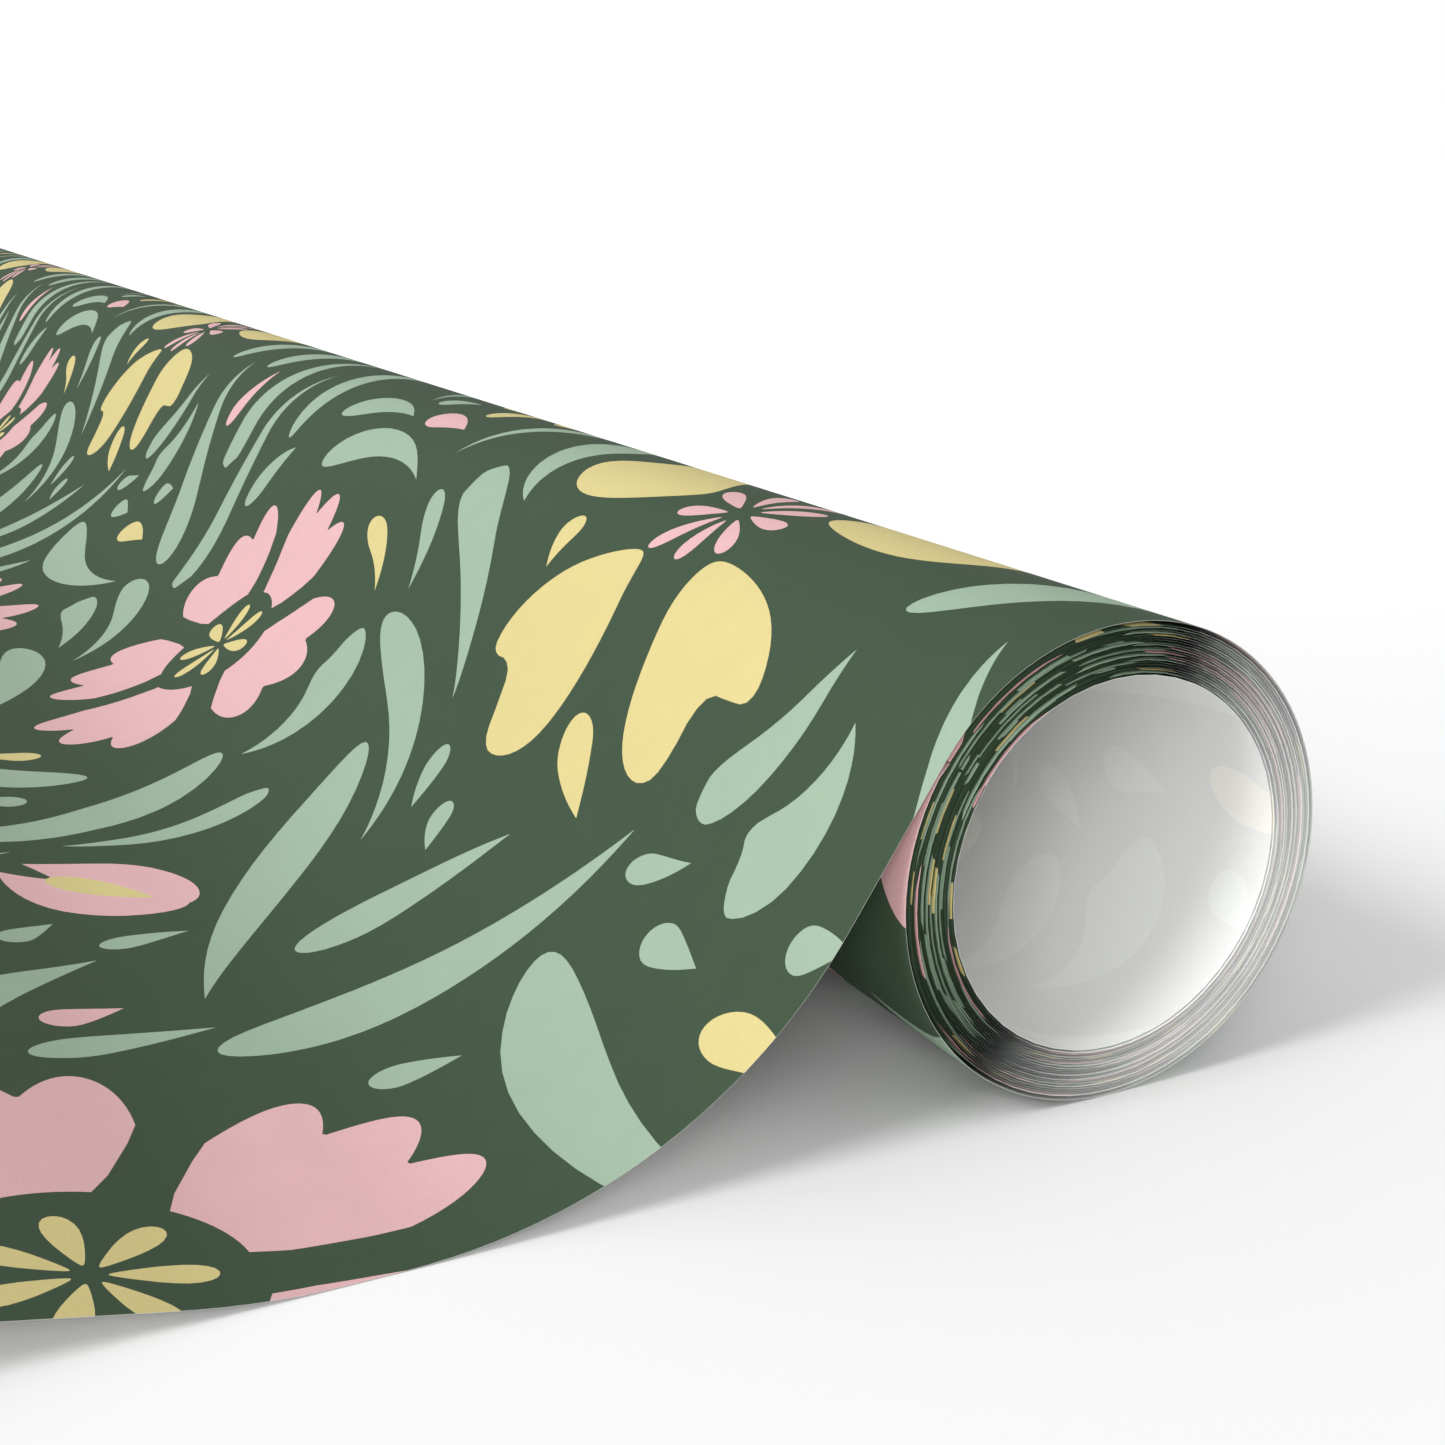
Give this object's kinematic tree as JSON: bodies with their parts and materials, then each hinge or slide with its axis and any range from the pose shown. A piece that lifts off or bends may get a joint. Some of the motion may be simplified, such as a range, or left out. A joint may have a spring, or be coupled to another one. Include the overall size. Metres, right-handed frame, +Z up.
{
  "type": "wrapping paper roll",
  "caption": "Coreless roll of printed gift wrap lying on its side, its loose leaf unrolled from the top and laid out flat on the table beside it.",
  "frame": {"origin": "on the table, under the middle of the whole object's box", "axes": "+Y along the roll's axis, +Z up, the leaf runs towards -X"},
  "size_m": [0.2091, 0.762, 0.0438],
  "materials": {
    "printed_paper": "matt uncoated paper, printed all over in dark green with a pink, butter yellow and sage floral",
    "paper_back": "matt unprinted white back of the same paper"
  },
  "bodies": {
    "wrap": {"outer_wrap": "printed_paper"},
    "coil_outer": {"turn_02": "printed_paper", "turn_03": "printed_paper", "turn_04": "printed_paper", "turn_05": "printed_paper", "turn_06": "printed_paper", "turn_07": "printed_paper", "turn_08": "printed_paper"},
    "coil_middle": {"turn_09": "printed_paper", "turn_10": "printed_paper", "turn_11": "printed_paper", "turn_12": "printed_paper", "turn_13": "printed_paper", "turn_14": "printed_paper", "turn_15": "printed_paper"},
    "coil_core": {"turn_16": "printed_paper", "turn_17": "printed_paper", "turn_18": "printed_paper", "turn_19": "printed_paper", "turn_20": "printed_paper", "turn_21": "printed_paper", "turn_22": "paper_back"},
    "drop": {"leaf_drop": "printed_paper"},
    "bend_1": {"leaf_bend_1": "printed_paper"},
    "bend_2": {"leaf_bend_2": "printed_paper"},
    "land": {"leaf_land": "printed_paper"},
    "rise": {"leaf_rise": "printed_paper"},
    "crest": {"leaf_crest": "printed_paper"},
    "edge": {"leaf_edge": "printed_paper"}
  },
  "joints": [
    {"name": "coil_turn", "type": "hinge", "parent": "wrap", "child": "coil_outer", "pos_m": [0.08256, 0, 0.02186], "axis": [0, 1, 0], "continuous": true},
    {"name": "middle_slide", "type": "slide", "parent": "coil_outer", "child": "coil_middle", "axis": [0, -1, 0], "range_m": [-0.02, 0.02]},
    {"name": "core_slide", "type": "slide", "parent": "coil_middle", "child": "coil_core", "axis": [0, -1, 0], "range_m": [-0.02, 0.02]},
    {"name": "leaf_lift", "type": "hinge", "parent": "wrap", "child": "drop", "pos_m": [0.06426, 0, 0.03402], "axis": [0, 1, 0], "range_deg": [0, 48]},
    {"name": "bend_flex_1", "type": "hinge", "parent": "drop", "child": "bend_1", "pos_m": [0.05125, 0, 0.01534], "axis": [0, 1, 0], "range_deg": [-16, 0]},
    {"name": "bend_flex_2", "type": "hinge", "parent": "bend_1", "child": "bend_2", "pos_m": [0.04085, 0, 0.00673], "axis": [0, 1, 0], "range_deg": [-16, 0]},
    {"name": "bend_flex_3", "type": "hinge", "parent": "bend_2", "child": "land", "pos_m": [0.0284, 0, 0.0015], "axis": [0, 1, 0], "range_deg": [-16, 0]},
    {"name": "tail_lift", "type": "hinge", "parent": "land", "child": "rise", "pos_m": [0.01252, 0, 0.00003], "axis": [0, 1, 0], "range_deg": [0, 28]},
    {"name": "tail_curl_1", "type": "hinge", "parent": "rise", "child": "crest", "pos_m": [-0.04471, 0, 0.00818], "axis": [0, 1, 0], "range_deg": [0, 28]},
    {"name": "tail_curl_2", "type": "hinge", "parent": "crest", "child": "edge", "pos_m": [-0.07499, 0, 0.00669], "axis": [0, 1, 0], "range_deg": [0, 28]}
  ],
  "couplings": [
    {"joint": "core_slide", "follows": "middle_slide", "ratio": 1},
    {"joint": "bend_flex_1", "follows": "leaf_lift", "ratio": -0.33333},
    {"joint": "bend_flex_2", "follows": "leaf_lift", "ratio": -0.33333},
    {"joint": "bend_flex_3", "follows": "leaf_lift", "ratio": -0.33333},
    {"joint": "tail_curl_1", "follows": "tail_lift", "ratio": 1},
    {"joint": "tail_curl_2", "follows": "tail_lift", "ratio": 1}
  ]
}
